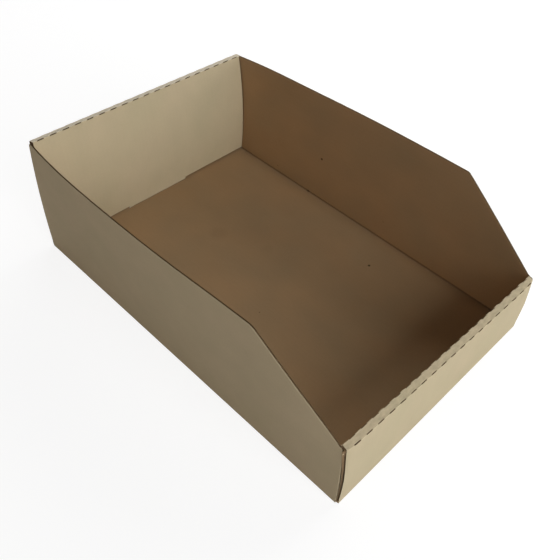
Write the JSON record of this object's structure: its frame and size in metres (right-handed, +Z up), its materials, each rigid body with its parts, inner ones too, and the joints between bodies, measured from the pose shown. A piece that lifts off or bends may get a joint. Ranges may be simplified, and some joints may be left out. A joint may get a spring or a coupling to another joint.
{
  "type": "cardboard shelf bin",
  "caption": "Low corrugated cardboard shelf bin folded from a flat sheet: cut-down front, sloping side walls, and rolled double front and back walls with perforated top folds.",
  "frame": {"origin": "middle of the floor's underside, on the shelf", "axes": "+Z up, +Y from the low front to the high back, +X to the right seen from the front"},
  "size_m": [0.2137, 0.2964, 0.0978],
  "materials": {
    "kraft_board": "matt brown kraft liner on both faces, fluting seen in the cut edges"
  },
  "bodies": {
    "root": {"shelf_bin": "kraft_board"}
  },
  "joints": []
}
